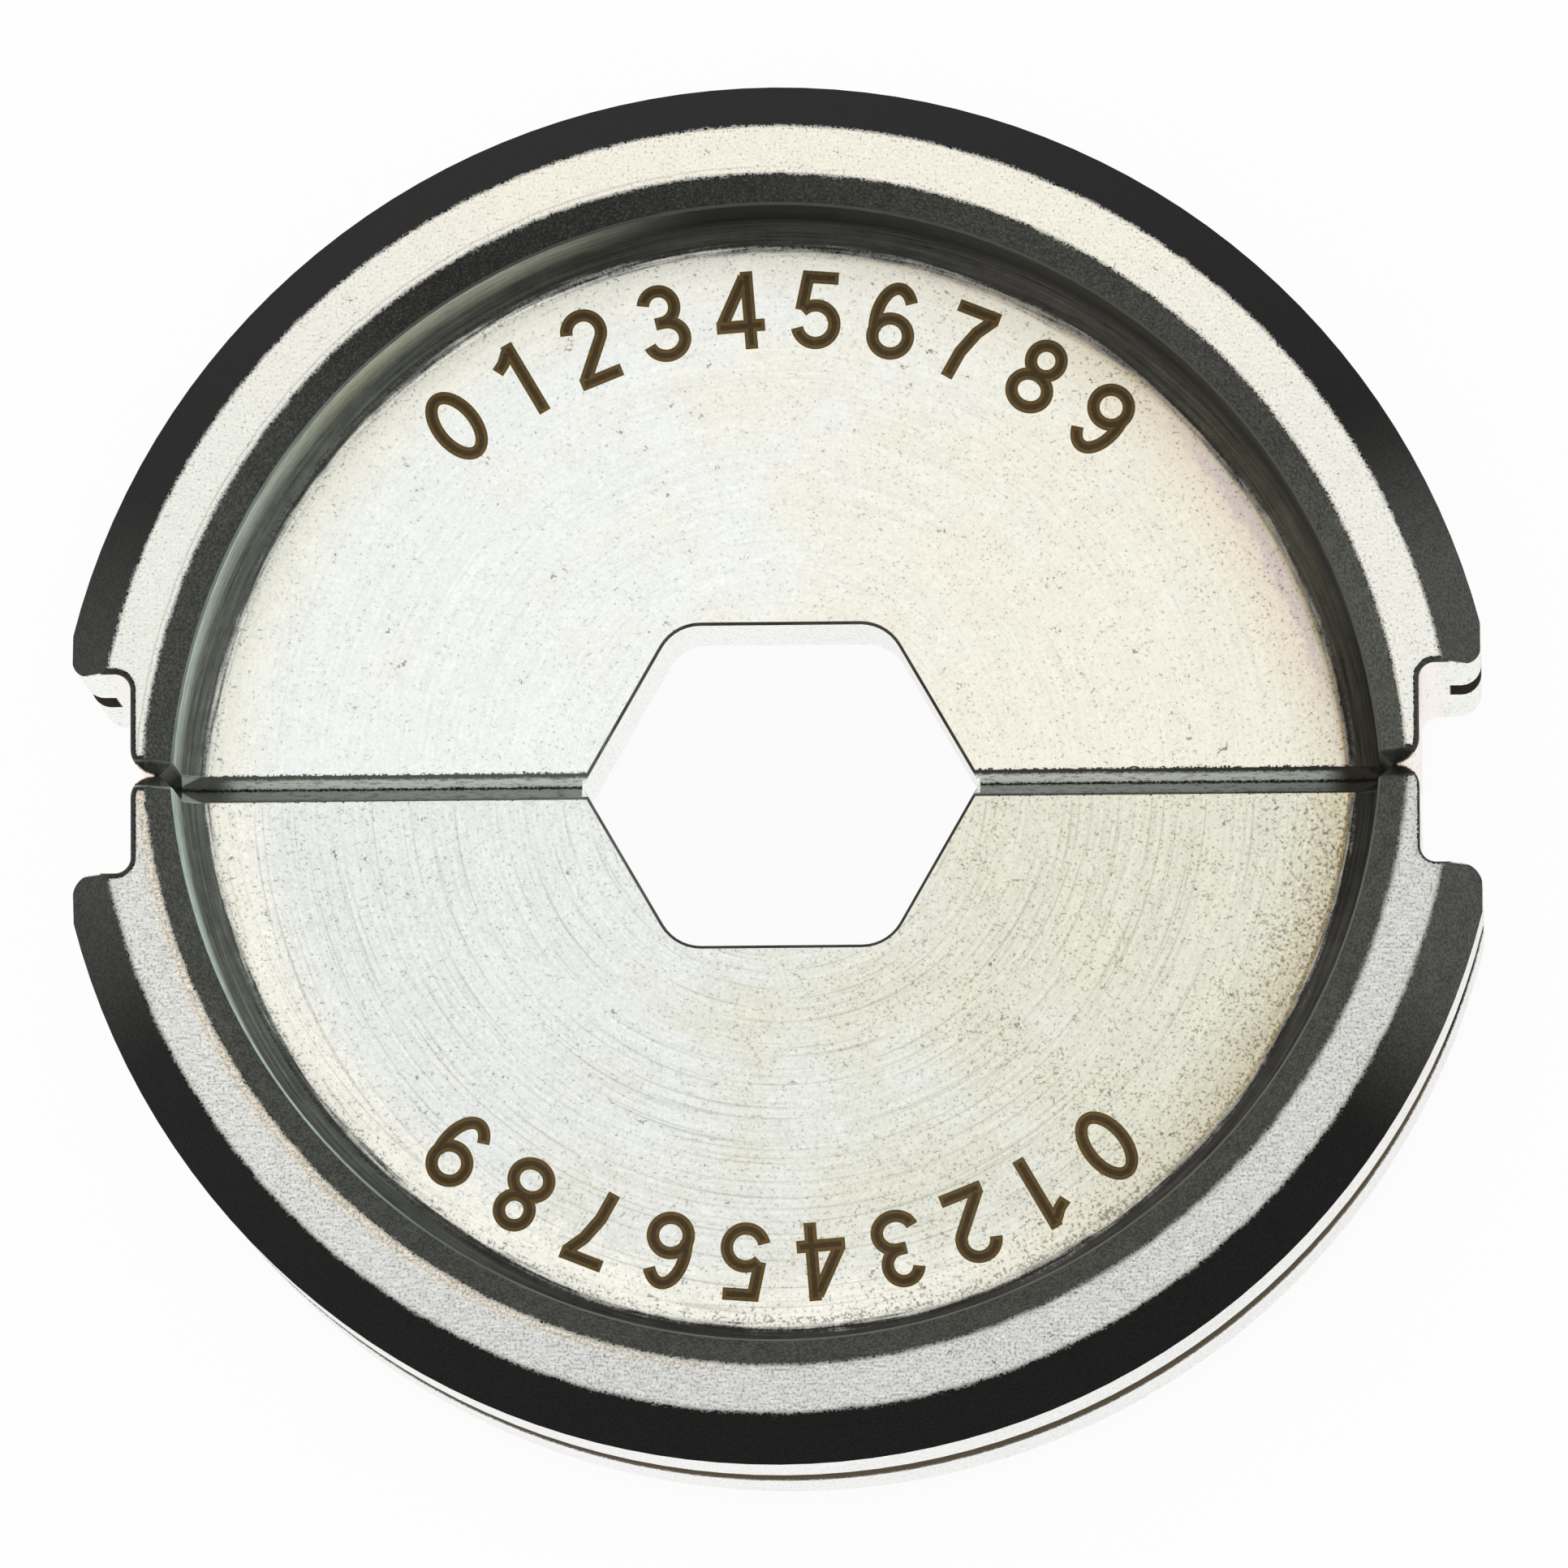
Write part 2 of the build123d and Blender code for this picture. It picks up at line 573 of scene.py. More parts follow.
def tool_mark_group():
    """Tool marks: straight on the rings, swept about the crimping axis on the faces, else turned."""
    group, fill, given, out = effect_group(
        "Tool Marks",
        {"Place": NO_PLACE, "Radius": 0.0, "Height": 0.0, "Straight": 0.0, "Swept": 0.0},
        {"Marks": VALUE},
    )
    x, y, _ = fill.parts(given["Place"])
    seat_turn = fill.math("ARCTAN2", fill.add(fill.math("ABSOLUTE", y), SEAT_OVERTRAVEL), x)
    turned_over = fill.times(fill.add(given["Radius"], given["Height"]), TURNED_MARKS[0])
    turned_along = fill.times(seat_turn, TURNED_MARKS[1])
    turned_along = fill.times_add(fill.math("SIGN", y), HALF_OFFSET, turned_along)
    swept_over = fill.times(fill.length(x, y), SWEPT_MARKS[0])
    swept_along = fill.times(fill.math("ARCTAN2", y, x), SWEPT_MARKS[1])
    over = fill.blend(given["Swept"], turned_over, swept_over)
    over = fill.blend(given["Straight"], over, fill.times(y, STRAIGHT_MARKS[0]))
    along = fill.blend(given["Swept"], turned_along, swept_along)
    along = fill.blend(given["Straight"], along, fill.times(x, STRAIGHT_MARKS[1]))
    marks = fill.noise(fill.vector(over, along, 0.0), 1.0, rough=0.65, noise_dimensions="2D")
    fill.feed(out["Marks"], marks)
    return group


def film_group():
    """Thin yellow, rose and violet films of the passivation, strongest along the edge of a face."""
    group, fill, given, out = effect_group(
        "Passivation Films",
        {
            "Colour": (0.82, 0.84, 0.82, 1.0),
            "Warm Colour": (0.82, 0.82, 0.72, 1.0),
            "Edge Colour": (0.82, 0.82, 0.76, 1.0),
            "Warm Edge Colour": (0.75, 0.70, 0.57, 1.0),
            "Middling": 0.5,
            "Broad": 0.5,
            "From Edge": 0.0,
            "From Dark": 0.0,
            "Side": 0.0,
            "Halo": 0.5,
            "Warm From": -0.2,
            "Violet": 1.0,
        },
        {"Colour": COLOUR},
    )
    side = given["Side"]
    blotch = fill.swing(given["Middling"])
    edge = fill.times_add(blotch, 1.2, given["From Edge"])
    drift = fill.times_add(fill.swing(given["Broad"]), 2.0, fill.times_add(blotch, 0.9, side))
    colour = fill.mix(fill.rise(drift, -0.8, 0.9), given["Colour"], given["Warm Colour"])

    warmth = fill.rise(side, given["Warm From"], fill.add(given["Warm From"], 1.0))
    rim = fill.mix(warmth, given["Edge Colour"], given["Warm Edge Colour"])
    colour = fill.mix(fill.fall(edge, 0.3, 2.2), colour, rim)
    violet = fill.times(fill.fall(side, 0.96, 0.99), given["Violet"])
    rose = fill.times(fill.rise(side, 0.45, 0.80), fill.fall(edge, 1.0, 3.2), violet)
    colour = fill.mix(fill.times(rose, 0.35), colour, ROSE_FILM)
    violet = fill.times(fill.rise(side, 0.66, 0.80), fill.band(edge, 0.0, 0.95, 0.4), violet)
    colour = fill.mix(fill.times(violet, 0.75), colour, VIOLET_FILM)

    halo = fill.times(
        fill.fall(given["From Dark"], 0.06, 0.38),
        fill.blend(fill.rise(side, -0.2, 0.6), 0.25, 1.0),
        given["Halo"],
    )
    scorched = fill.mix(fill.rise(side, -0.6, 0.5), LEFT_HALO, RIGHT_HALO)
    colour = fill.mix(halo, colour, scorched)
    edge_line = fill.times(fill.band(given["From Dark"], 0.0, 0.15, 0.04), fill.rise(side, 0.6, 0.95))
    fill.feed(out["Colour"], fill.mix(fill.times(edge_line, 0.8), colour, GOLDEN_LINE))
    return group


def blackening_group():
    """Rough blackened steel, thinner in places, with pale flecks. On the outer chamfers the thin colour
    gives a painted side sheen.
    """
    group, fill, given, out = effect_group(
        "Blackening",
        {
            "Fine": 0.5,
            "Middling": 0.5,
            "Colour": (0.02, 0.018, 0.017, 1.0),
            "Thin Colour": (0.07, 0.078, 0.074, 1.0),
            "Thin": 0.0,
            "Flecks": 0.5,
        },
        {"Colour": COLOUR},
    )
    patchy = fill.times(fill.swing(given["Middling"]), 0.7)
    thin = fill.times_add(patchy, given["Thin"], given["Thin"], clamp=True)
    colour = fill.mix(thin, given["Colour"], given["Thin Colour"])
    colour = fill.shade(colour, fill.blend(fill.rise(given["Fine"], 0.30, 0.70), 0.70, 1.40))
    fleck = fill.times(fill.rise(given["Fine"], 0.62, 0.74), given["Flecks"])
    fill.feed(out["Colour"], fill.mix(fleck, colour, PALE_FLECKS))
    return group


def build_effects():
    """The shared node groups, by short name."""
    return {
        "section": section_group(),
        "grain": grain_group(),
        "specks": speck_group(),
        "tool_marks": tool_mark_group(),
        "films": film_group(),
        "blackening": blackening_group(),
    }


def finish_zones(fill, effects, section, grain, settings, half):
    """Where each finish lies on a die half, as masks from 0 to 1, with the tool marks."""
    radius, height, side = section["Radius"], section["Height"], section["Side"]
    along, across = section["Along"], section["Across"]
    from_edge = fill.subtract(FLOOR_RADIUS, radius)
    on_web = fill.fall(height, WEB_HEIGHT + 0.002, WEB_HEIGHT + 0.006)
    on_ring = fill.rise(height, RING_HEIGHT - 0.05, RING_HEIGHT - 0.02)
    parting_break = fill.times(fill.fall(across, PARTING_BREAK + 0.14, PARTING_BREAK + 0.16), on_web)
    marks = fill.use(
        effects["tool_marks"],
        place=section["Place"],
        radius=radius,
        height=height,
        straight=fill.larger(on_ring, parting_break),
        swept=fill.times(on_web, fill.rise(from_edge, 0.4, 0.9)),
    )["Marks"]

    # The blackening frays along the ground steel, softly on the faces and finely on the rings
    fine_fray = fill.times(fill.swing(grain["Fine"]), settings.edge_wander * 3.0)
    frayed = fill.times_add(fill.swing(grain["Middling"]), settings.edge_wander * 1.6, fine_fray)
    turned_fray = fill.times_add(fill.swing(marks), 0.5, fill.times(frayed, 1.1))
    from_parting = fill.times_add(fine_fray, 0.9, across)
    face_end = PARTING_BREAK + half.face_line
    darker = fill.rise(side, half.dark_from, half.dark_to)
    reach = fill.blend(darker, half.pale_reach, half.dark_reach)
    reach = fill.times_add(fill.fall(side, -0.7, -0.2), half.left_cove_reach, reach)
    from_dark = fill.add(from_edge, reach)
    rightward = fill.rise(side, -0.75, 0.75)
    within = fill.subtract(radius, RING_INNER_RADIUS)
    without = fill.subtract(RING_OUTER_RADIUS, radius)
    ring_edge = fill.math("MINIMUM", within, without)
    level = fill.subtract(height, fill.times(fill.math("MINIMUM", ring_edge, 0.0), CHAMFER_SLOPE))
    level = fill.times_add(grain["Fine"], fill.blend(rightward, half.left_reach, half.right_reach), level)
    inner_fade = fill.blend(rightward, half.left_fade, half.right_fade)

    # The notches, with their rounded roots and shoulders
    under_chamfer = fill.subtract(fill.times_add(without, SHOULDER_SLOPE, RING_HEIGHT), height)
    from_tip = fill.length(
        fill.larger(fill.subtract(along, TIP_CENTRE_X), 0.0),
        fill.larger(fill.subtract(LEG_TIP_RADIUS, across), 0.0),
    )
    in_notch = fill.times(
        fill.rise(from_tip, LEG_TIP_RADIUS - 0.06, LEG_TIP_RADIUS - 0.02),
        fill.rise(along, TIP_CENTRE_X + 0.02, TIP_CENTRE_X + 0.12),
        fill.fall(across, NOTCH_HEIGHT + 0.02, NOTCH_HEIGHT + 0.06),
        fill.fall(height, RING_HEIGHT - 0.27, RING_HEIGHT - 0.22),
    )
    on_shoulder = fill.times(
        fill.rise(along, SIDE_FLAT_X - 0.68, SIDE_FLAT_X - 0.62),
        fill.fall(across, NOTCH_HEIGHT + 0.64, NOTCH_HEIGHT + 0.70),
        fill.rise(under_chamfer, 0.02, 0.05),
    )
    zones = {
        "marks": marks,
        "from_edge": from_edge,
        "from_dark": from_dark,
        "ring_edge": ring_edge,
        "parting_break": parting_break,
        "ring": fill.times(
            fill.rise(level, RING_HEIGHT - 0.008, RING_HEIGHT - 0.002),
            fill.rise(fill.add(within, frayed), -0.02, inner_fade),
            fill.rise(fill.add(without, frayed), -0.02, half.outer_fray),
        ),
        "web": fill.times(
            fill.fall(height, WEB_HEIGHT + 0.12, WEB_HEIGHT + 0.16),
            fill.rise(height, WEB_HEIGHT - 0.010, WEB_HEIGHT - 0.004),
            fill.rise(fill.add(from_dark, turned_fray), -0.15, half.face_fade),
            fill.rise(from_parting, face_end - 0.04, face_end),
        ),
        "back": fill.times(
            fill.rise(radius, SEAT_RADIUS - 0.05, SEAT_RADIUS - 0.03),
            fill.fall(height, OUTER_EDGE_HEIGHT - 0.03, OUTER_EDGE_HEIGHT),
        ),
        "side_flat": fill.rise(along, SIDE_FLAT_X - 0.02, SIDE_FLAT_X - 0.01),
        "notch": fill.larger(in_notch, on_shoulder),
        "nest": fill.times(
            fill.fall(along, NEST_HALF_WIDTH, NEST_HALF_WIDTH + 0.05),
            fill.fall(across, NEST_DEPTH + 0.005, NEST_DEPTH + 0.02),
            fill.fall(height, WEB_HEIGHT - 0.11, WEB_HEIGHT - 0.10),
        ),
        "groove": fill.times(
            fill.fall(radius, SEAT_RADIUS - 0.05, SEAT_RADIUS - 0.03),
            fill.fall(height, GROOVE_HALF_WIDTH + 0.01, GROOVE_HALF_WIDTH + 0.03),
            fill.rise(radius, GROOVE_RADIUS - 0.05, GROOVE_RADIUS - 0.03),
        ),
        "outer_chamfer": fill.rise(radius, RING_OUTER_RADIUS - 0.1, RING_OUTER_RADIUS - 0.05),
        "recess": fill.times(
            fill.fall(radius, WALL_RADIUS + 0.005, WALL_RADIUS + 0.015),
            fill.fall(height, INNER_EDGE_HEIGHT - 0.12, INNER_EDGE_HEIGHT - 0.10),
        ),
        "inner_edge": fill.times(
            fill.fall(radius, WALL_RADIUS + 0.06, WALL_RADIUS + 0.08),
            fill.rise(height, INNER_EDGE_HEIGHT - 0.12, INNER_EDGE_HEIGHT - 0.10),
        ),
        "leg_end": fill.times(
            fill.fall(across, PARTING_BREAK, PARTING_BREAK + 0.03),
            fill.rise(radius, FLOOR_RADIUS + 0.1, FLOOR_RADIUS + 0.3),
            fill.rise(height, WEB_HEIGHT, WEB_HEIGHT + 0.1),
        ),
    }
    zones["leg_break"] = fill.times(
        fill.rise(radius, RING_INNER_RADIUS, RING_INNER_RADIUS + 0.04), fill.rest(zones["outer_chamfer"])
    )
    ground = zones["ring"]
    for name in ("web", "back", "side_flat", "notch", "nest"):
        ground = fill.larger(ground, zones[name])
    zones["ground"] = fill.times(ground, fill.rest(zones["groove"]))
    return zones


def ring_colour(fill, section, grain, zones, half):
    """Colour of the flat ring: warm at the top, with tan lines and a cream fringe on the left."""
    radius, side = section["Radius"], section["Side"]
    warm = fill.times(fill.rise(section["Across"], 8.0, 19.0), half.warm_ring)
    colour = fill.mix(warm, half.ring_colour, WARM_RING)
    colour = fill.mix(fill.times(fill.fall(side, -0.9, -0.2), 0.6), colour, half.left_ring_colour)
    second_line = fill.times(
        fill.band(fill.times_add(grain["Middling"], 0.10, zones["ring_edge"]), 0.24, 0.34, 0.04),
        fill.fall(radius, RING_INNER_RADIUS + 0.5, RING_INNER_RADIUS + 0.6),
        fill.fall(side, -0.3, 0.2),
    )
    tan_line = fill.larger(fill.band(zones["ring_edge"], -0.08, 0.10, 0.05), fill.times(second_line, 0.8))
    fringe = fill.times(
        fill.fall(radius, RING_INNER_RADIUS + 0.1, RING_INNER_RADIUS + 0.5),
        fill.fall(side, -0.5, 0.2),
        half.cream_fringe,
    )
    colour = fill.mix(fringe, colour, CREAM_FRINGE)
    return fill.mix(fill.times(tan_line, half.tan_line), colour, TAN_LINE)


def notch_colour(fill, section, grain):
    """Colour of the notches: rosy beside the leg, greenish beyond, with dots drawn out along the axis."""
    beside_leg = fill.times_add(fill.swing(grain["Middling"]), 2.0, section["Along"])
    beyond = fill.rise(beside_leg, LEG_OUTER_X + 0.4, LEG_OUTER_X + 1.0)
    colour = fill.mix(beyond, ROSY_NOTCH, GREENISH_NOTCH)
    drawn_out = fill.stretched(section["Place"], (1.0, 1.0, 0.12))
    dots = fill.rise(fill.noise(drawn_out, NOTCH_GRAIN, detail=1.0), 0.66, 0.70)
    return fill.mix(fill.times(dots, 0.7), colour, NOTCH_DOTS)


def ground_colour(fill, effects, section, grain, zones, settings, half):
    """Colour of the ground steel, with its films, specks and tool marks, and how rough it is."""
    side, marks, ring, web = section["Side"], zones["marks"], zones["ring"], zones["web"]
    films = fill.use(
        effects["films"],
        colour=half.face_colour,
        warm_colour=half.warm_face_colour,
        edge_colour=half.edge_colour,
        warm_edge_colour=half.warm_edge_colour,
        middling=grain["Middling"],
        broad=grain["Broad"],
        from_edge=zones["from_edge"],
        from_dark=zones["from_dark"],
        side=side,
        halo=half.halo,
        warm_from=half.warm_from,
        violet=half.violet,
    )
    colour = fill.mix(ring, BARE_STEEL, ring_colour(fill, section, grain, zones, half))
    colour = fill.mix(web, colour, films["Colour"])
    colour = fill.mix(zones["notch"], colour, notch_colour(fill, section, grain))

    depth = fill.blend(ring, half.face_marks, half.ring_marks)
    shade = fill.times_add(fill.subtract(0.5, marks), depth, 1.0)
    mottled = fill.times(fill.fall(zones["from_edge"], 0.5, 2.4), fill.rise(side, 0.80, 0.97), web)
    coarse = fill.times_add(mottled, half.mottle, fill.blend(ring, half.face_grain, half.ring_grain))
    shade = fill.times_add(fill.subtract(0.5, grain["Fine"]), coarse, shade)
    shade = fill.times_add(fill.subtract(0.5, grain["Middling"]), 0.12, shade)
    colour = fill.shade(colour, shade)
    scored = fill.times(fill.rise(marks, 0.62, 0.72), web, half.scoring)
    colour = fill.mix(scored, colour, SCORING)
    crowding = fill.times(fill.blend(fill.rise(side, -0.4, 0.6), 0.5, 1.1), half.face_specks)
    specks = fill.use(
        effects["specks"],
        fine=grain["Fine"],
        middling=grain["Middling"],
        broad=grain["Broad"],
        from_edge=fill.blend(web, zones["ring_edge"], zones["from_edge"]),
        density=fill.blend(ring, crowding, half.ring_specks),
    )
    speck_colour = fill.mix(fill.rise(side, 0.2, 0.8), settings.speck_colour, OLIVE_SPECKS)
    colour = fill.mix(fill.times(specks["Specks"], settings.speck_amount), colour, speck_colour)
    colour = fill.mix(fill.times(specks["Pits"], 0.55), colour, PITS)
    smooth = fill.larger(zones["notch"], fill.larger(zones["back"], zones["nest"]))
    return colour, fill.blend(smooth, fill.blend(specks["Specks"], 0.34, 0.55), 0.20)


def recess_colour(fill, section, grain, zones, settings, half):
    """Colour of the recess wall and its cove: a painted reflection of the bright face on the left, black
    at the top, brown on the right.
    """
    radius, height, side = section["Radius"], section["Height"], section["Side"]
    leftward = fill.subtract(0.0, side)
    off_top = fill.rise(side, -0.1, 0.5)
    cove_top = WEB_HEIGHT + COVE_RADIUS
    # Painted reflection of the bright face: the wall and cove are made pale on the left, dimmer lower
    # down the wall.
    pale = fill.mix(fill.rise(leftward, 0.7, 0.95), UPPER_LEFT_WALL_REFLECTION, half.pale_wall)
    pale = fill.shade(pale, fill.blend(fill.rise(height, cove_top, INNER_EDGE_HEIGHT), 0.50, 1.05))
    wall = fill.mix(off_top, TOP_WALL, RIGHT_WALL)
    wall = fill.mix(fill.rise(leftward, half.pale_from, half.pale_full), wall, pale)
    cove = fill.mix(off_top, TOP_COVE, RIGHT_COVE)
    cove = fill.mix(fill.rise(leftward, 0.3, 0.9), cove, LEFT_COVE_REFLECTION)
    wander = fill.times(fill.add(grain["Middling"], zones["marks"]), 0.5)
    in_cove = fill.fall(fill.add(height, wander), cove_top, cove_top + 1.0)
    colour = fill.mix(in_cove, wall, cove)
    scorched = fill.times(
        fill.rise(side, 0.3, 0.9),
        fill.fall(radius, FLOOR_RADIUS + 0.40, FLOOR_RADIUS + 0.80),
        half.scorch,
    )
    colour = fill.mix(scorched, colour, settings.scorch_colour)
    flecked = fill.times(
        fill.band(zones["from_dark"], -0.34, 0.05, 0.08),
        fill.rise(grain["Fine"], 0.45, 0.62),
        fill.rise(leftward, 0.1, 0.6),
        fill.fall(leftward, 0.86, 0.97),
    )
    colour = fill.mix(fill.times(flecked, 0.55), colour, DARK_FLECKS)
    mottle = fill.blend(grain["Fine"], 0.82, 1.18)
    mottle = fill.times_add(fill.swing(grain["Middling"]), 0.6, mottle)
    mottle = fill.times_add(fill.swing(zones["marks"]), 1.5, mottle)
    far_right = fill.times(fill.rise(side, 0.93, 0.99), fill.blend(in_cove, 1.0, 0.7))
    return fill.shade(colour, fill.times(mottle, fill.blend(far_right, 1.0, 0.42)))


def parting_colour(fill, section, grain, zones, half):
    """Colour of the broken parting edges: a painted contact shadow where the halves meet, streaky, and
    dark at the face in the same painted shade.
    """
    wander = fill.add(fill.times(grain["Fine"], 0.14), fill.times(grain["Middling"], 0.06))
    off = fill.add(section["Across"], fill.subtract(wander, 0.10))
    worn = fill.times(
        fill.rise(off, 0.0, 0.08),
        fill.fall(off, half.break_width - 0.05, half.break_width + 0.04),
        fill.fall(section["Radius"], FLOOR_RADIUS - 1.1, FLOOR_RADIUS - 0.1),
    )
    fading = fill.times(fill.times_add(off, -0.9, 1.2), fill.blend(zones["marks"], 0.1, 1.9))
    fading = fill.times(fading, fill.blend(grain["Fine"], 0.6, 1.4))
    streaky = fill.shade(half.break_colour, fill.math("MINIMUM", fading, 1.0))
    # Painted shadow: darkest in the contact between the halves, lighter further off and at the left end.
    off_contact = fill.rise(off, 0.0, 0.1)
    shadowed = fill.mix(off_contact, CONTACT_SHADOW, BREAK_SHADOW)
    left_end = fill.times(off_contact, fill.fall(section["Side"], -0.95, -0.7), 0.8)
    return fill.mix(worn, fill.mix(left_end, shadowed, LEFT_BREAK_SHADOW), streaky)


def dark_colour(fill, effects, section, grain, zones, settings, half):
    """Colour of the blackened chamfers, the recess and the broken parting edges, with their painted
    highlight, reflections, sheen and shade.
    """
    side, leg_end = section["Side"], zones["leg_end"]
    leftward = fill.subtract(0.0, side)
    far_left = fill.rise(leftward, 0.6, 0.95)
    inner = fill.rest(zones["outer_chamfer"])
    # Painted side sheen: the outer chamfer is made lighter at its left and right sides, through the
    # thin-blackening colour.
    outer_side_sheen = fill.larger(fill.rise(side, 0.82, 0.96), fill.times(fill.rise(leftward, 0.88, 1.0), 0.7))
    spread = fill.times(fill.rise(leftward, 0.5, 1.0), 0.42)
    spread = fill.times_add(fill.rise(side, 0.8, 0.97), 0.36, spread)
    spread = fill.times_add(fill.rise(side, -0.4, 0.8), 0.42, spread)
    inner_thin = fill.times_add(spread, half.thin_spread, half.thin_inner)
    dark_end = fill.times(leg_end, fill.rest(far_left))
    solid = fill.times_add(fill.larger(zones["leg_break"], dark_end), -0.7, 1.0)
    black = fill.use(
        effects["blackening"],
        fine=grain["Fine"],
        middling=grain["Middling"],
        colour=settings.chamfer_colour,
        thin_colour=settings.worn_chamfer_colour,
        thin=fill.blend(inner, outer_side_sheen, fill.times(inner_thin, solid)),
        flecks=fill.times(inner, solid, half.flecks),
    )
    # The outer chamfer is darkened, less so at its sides where the painted side sheen lies.
    outer_shade = fill.blend(outer_side_sheen, half.outer_dark, half.outer_shade)
    colour = fill.shade(black["Colour"], fill.blend(zones["outer_chamfer"], 1.0, outer_shade))
    recess = recess_colour(fill, section, grain, zones, settings, half)
    colour = fill.mix(fill.times(zones["recess"], solid), colour, recess)
    # Painted reflection: on the left the leg ends in the recess are made pale like the wall beside them.
    colour = fill.mix(fill.times(leg_end, zones["recess"], far_left, 0.8), colour, LEFT_LEG_END_REFLECTION)
    # Painted shade: the groove's back wall, seen through the notch, is coloured darker.
    beside_notch = fill.rise(section["Along"], LEG_OUTER_X + 0.2, LEG_OUTER_X + 1.0)
    colour = fill.mix(zones["groove"], colour, fill.mix(beside_notch, GROOVE, GROOVE_SHADE_IN_NOTCH))
    # Painted highlight: a lighter line along the inner edge above the wall and around the legs' ends,
    # paler on the left.
    leg_line = fill.rise(section["Across"], PARTING_BREAK - 0.08, PARTING_BREAK - 0.02)
    edge_line = fill.larger(zones["inner_edge"], fill.times(leg_end, leg_line, 0.6))
    edge_line = fill.times(edge_line, fill.blend(grain["Middling"], 0.5, 1.3))
    to_left = fill.rise(leftward, 0.5, 0.85)
    edge_colour = fill.mix(to_left, half.inner_edge_colour, half.left_inner_edge_colour)
    colour = fill.mix(edge_line, colour, edge_colour)
    return fill.mix(zones["parting_break"], colour, parting_colour(fill, section, grain, zones, half))


# What differs between the two halves: the upper half's value, then the lower half's. Colours are as
# they look on a screen, lengths are in millimetres, and sides go from -1 on the left to 1 on the right.
HALF_VALUES = {
    # Ring
    "ring_colour": ((229, 229, 221), (205, 206, 204)),
    "left_ring_colour": ((226, 227, 220), (218, 218, 212)),
    "warm_ring": (1.0, 0.0),
    "tan_line": (0.45, 0.30),
    "cream_fringe": (0.0, 0.7),
    "ring_marks": (0.16, 0.75),
    "ring_grain": (0.42, 0.50),
    "ring_specks": (0.4, 1.0),
    # How softly the blackening ends along the ring, and how far its steel reaches down the chamfers
    "left_fade": (0.15, 0.05),
    "right_fade": (0.03, 0.20),
    "outer_fray": (0.10, 0.15),
    "left_reach": (0.03, 0.03),
    "right_reach": (0.04, 0.16),
    # Face
    "face_colour": ((235, 237, 234), (226, 228, 225)),
    "warm_face_colour": ((236, 233, 218), (220, 219, 203)),
    "edge_colour": ((243, 242, 231), (245, 243, 231)),
    "warm_edge_colour": ((227, 219, 200), (204, 197, 172)),
    "warm_from": (-0.2, 0.05),
    "face_marks": (0.14, 0.30),
    "face_grain": (0.30, 0.42),
    "face_specks": (0.40, 0.80),
    "scoring": (0.04, 0.30),
    "mottle": (0.2, 0.9),
    "halo": (0.85, 0.12),
    "violet": (1.0, 0.0),
    # How far the face's steel reaches into the cove, from pale to dark, and how it ends
    "pale_reach": (0.17, 0.15),
    "dark_reach": (-0.10, -0.02),
    "left_cove_reach": (0.0, -0.10),
    "dark_from": (-0.75, 0.4),
    "dark_to": (0.75, 0.98),
    "face_fade": (0.22, 0.12),
    "face_line": (0.04, 0.0),
    # Chamfers. The outer chamfer is darkened by outer_dark, and by outer_shade at its sides, where a side
    # sheen is painted
    "outer_shade": (0.56, 0.60),
    "outer_dark": (0.34, 0.56),
    "thin_inner": (0.22, 0.72),
    "thin_spread": (1.0, 0.08),
    "flecks": (0.35, 0.15),
    # Recess wall, with its painted reflection on the left, and the painted highlight along the edge above
    # it
    "pale_from": (0.10, 0.78),
    "pale_full": (0.55, 0.96),
    "pale_wall": ((202, 212, 204), (206, 217, 208)),
    "scorch": (1.0, 0.1),
    "inner_edge_colour": ((86, 88, 83), (116, 118, 113)),
    "left_inner_edge_colour": ((140, 150, 143), (206, 226, 220)),
    # Broken edge along the parting plane
    "break_colour": ((232, 236, 230), (170, 176, 170)),
    "break_width": (0.30, 0.36),
}


class HalfFinish:
    """The finish of one half, from one column of its values."""

    def __init__(self, column):
        for name, values in HALF_VALUES.items():
            value = values[column]
            setattr(self, name, screen_colour(*value) if isinstance(value, tuple) else value)


def new_material(name):
    """A new material with nothing in it, and the shading that fills it."""
    material = bpy.data.materials.new(name)
    material.use_nodes = True
    material.node_tree.nodes.clear()
    return material, Shading(material.node_tree)


def die_steel(name, effects, settings, half):
    """One half's steel: ground ring and faces, blackened chamfers, dark recess wall."""
    material, fill = new_material(name)
    section = fill.use(effects["section"])
    grain = fill.use(effects["grain"], place=section["Place"])
    zones = finish_zones(fill, effects, section, grain, settings, half)
    bright, bright_rough = ground_colour(fill, effects, section, grain, zones, settings, half)
    dark = dark_colour(fill, effects, section, grain, zones, settings, half)
    dark_rough = fill.blend(zones["recess"], 0.50, 0.78)
    shader = fill.node("ShaderNodeBsdfPrincipled")
    shader.inputs["Metallic"].default_value = 1.0
    fill.feed(shader.inputs["Base Color"], fill.mix(zones["ground"], dark, bright))
    fill.feed(shader.inputs["Roughness"], fill.blend(zones["ground"], dark_rough, bright_rough))
    fill.relief(shader, grain["Fine"], strength=0.35, depth=0.01 * MM, invert=True)
    fill.show(shader)
    return material


